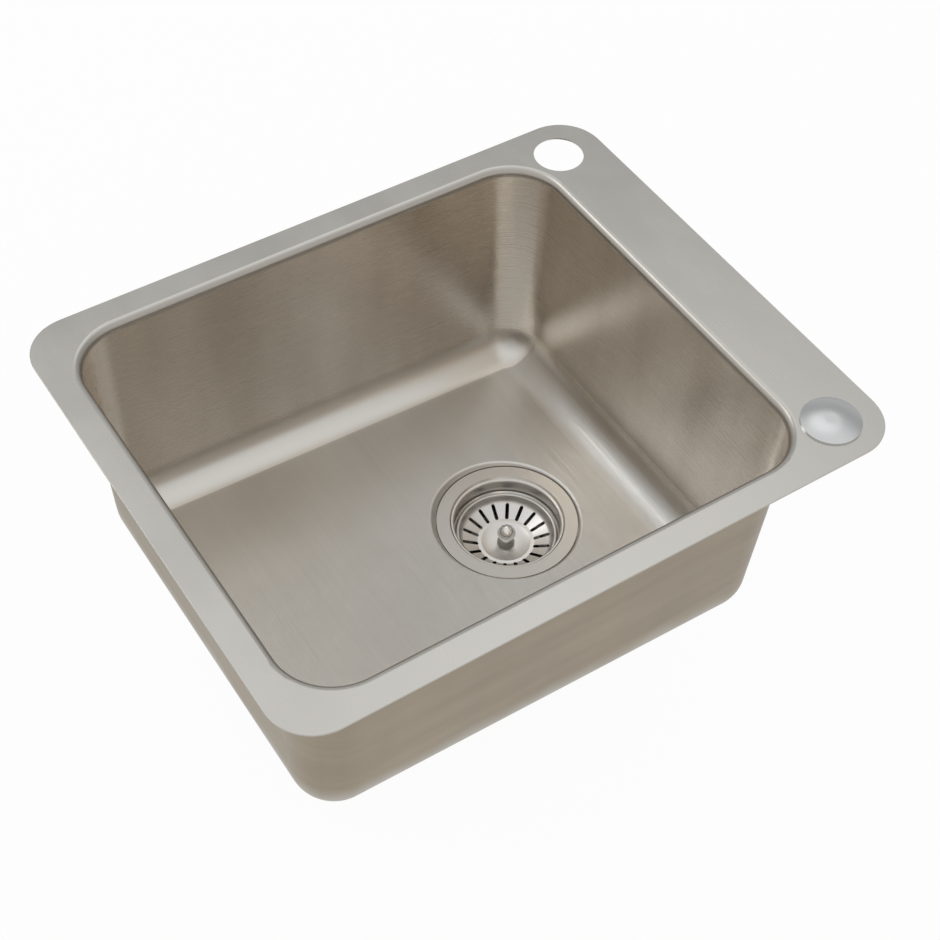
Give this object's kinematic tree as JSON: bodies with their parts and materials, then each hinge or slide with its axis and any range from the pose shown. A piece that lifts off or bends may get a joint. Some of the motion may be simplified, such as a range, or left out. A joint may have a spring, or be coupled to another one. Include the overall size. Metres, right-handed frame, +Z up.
{
  "type": "laundry sink",
  "caption": "Drop-in stainless laundry sink with tap ledge, tapered bowl with a sloping base, basket strainer waste with pull-up stopper and a covered tap hole.",
  "frame": {"origin": "middle of the rim's outline on the benchtop plane, which is the underside of the rim seal", "axes": "+Z up, -Y towards the user, +Y towards the tap ledge, +X to the user's right"},
  "size_m": [0.404, 0.489, 0.2939],
  "materials": {
    "brushed_stainless": "brushed",
    "polished_stainless": "polished",
    "black_rubber": "matte",
    "grey_foam": "matte",
    "black_polypropylene": "matte",
    "white_nylon": "satin",
    "brass": "turned"
  },
  "bodies": {
    "sink": {"deck": "brushed_stainless", "bowl": "brushed_stainless", "rim_seal": "grey_foam", "sound_pad": "black_rubber", "taphole_cover": "polished_stainless", "cover_gasket": "black_rubber", "cover_stud": "polished_stainless", "cover_clamp": "brushed_stainless", "cover_wing_nut": "polished_stainless", "waste_flange": "polished_stainless", "flange_gasket": "black_rubber", "body_gasket": "black_rubber", "waste_body": "black_polypropylene", "insert_nut": "brass", "fixing_screw": "polished_stainless"},
    "basket": {"strainer_basket": "polished_stainless", "post_bush": "white_nylon"},
    "stopper": {"knob_post": "polished_stainless", "stopper": "black_rubber", "stopper_washer": "polished_stainless", "post_nut": "polished_stainless"}
  },
  "joints": [
    {"name": "basket_lift", "type": "slide", "parent": "sink", "child": "basket", "axis": [0, 0, 1], "range_m": [0, 0.06]},
    {"name": "knob_pull", "type": "slide", "parent": "basket", "child": "stopper", "axis": [0, 0, 1], "range_m": [0, 0.008]}
  ]
}
